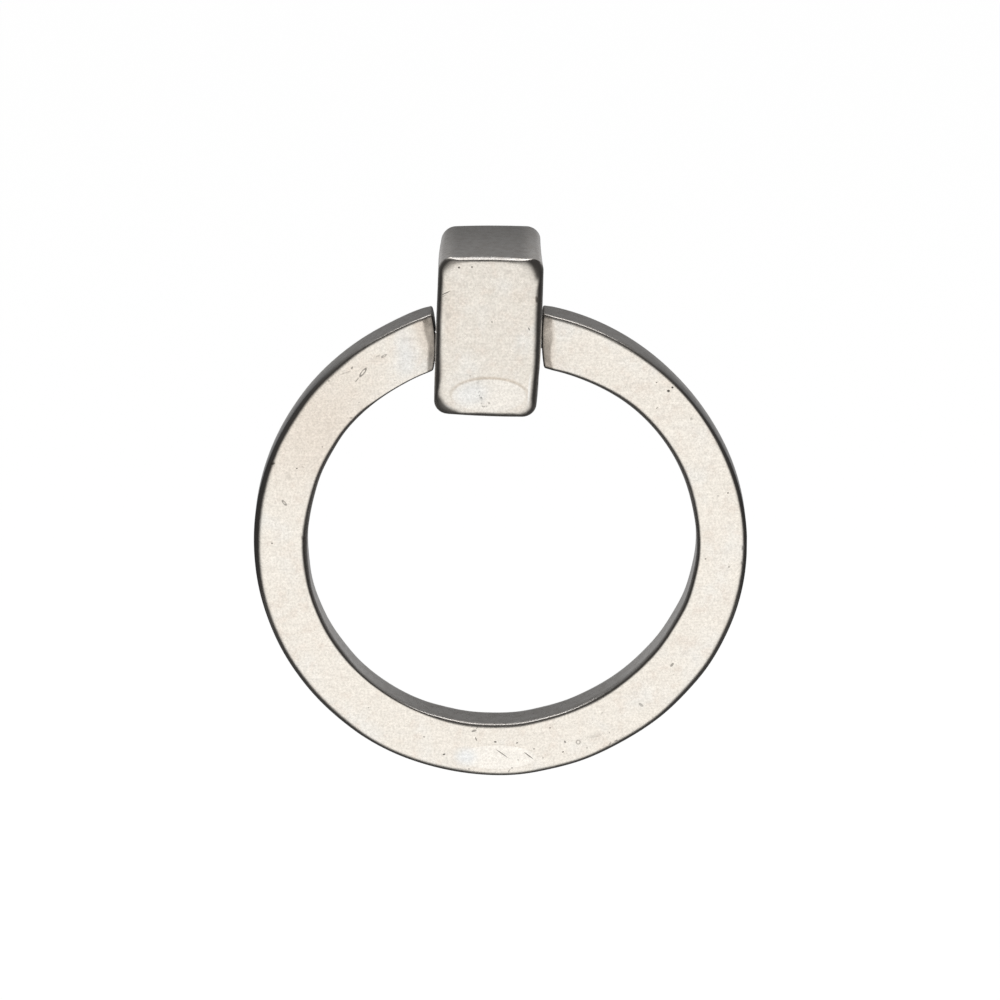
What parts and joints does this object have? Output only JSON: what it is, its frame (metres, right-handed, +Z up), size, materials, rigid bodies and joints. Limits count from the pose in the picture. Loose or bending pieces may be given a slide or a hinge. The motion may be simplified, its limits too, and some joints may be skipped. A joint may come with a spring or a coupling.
{
  "type": "ring pull handle",
  "caption": "Drawer and cabinet pull: a flat cast ring with an open top hangs on a pivot pin through an upright block that is fixed by a screw from behind.",
  "frame": {"origin": "centre of the screw hole's mouth in the block's back face", "axes": "+Z up as mounted, +Y into the drawer front along the screw, the pull stands out towards -Y, and the hinge axis runs along X"},
  "size_m": [0.076, 0.019, 0.0858],
  "materials": {
    "cast_bronze": "satin, hand-rubbed white bronze with small casting pits",
    "pin_steel": "ground"
  },
  "bodies": {
    "block": {"mounting_block": "cast_bronze", "pivot_pin": "pin_steel"},
    "ring": {"ring": "cast_bronze"}
  },
  "joints": [
    {"name": "ring_swing", "type": "hinge", "parent": "block", "child": "ring", "pos_m": [0, -0.0095, -0.0055], "axis": [-1, 0, 0], "range_deg": [-4.8, 184.8]}
  ]
}
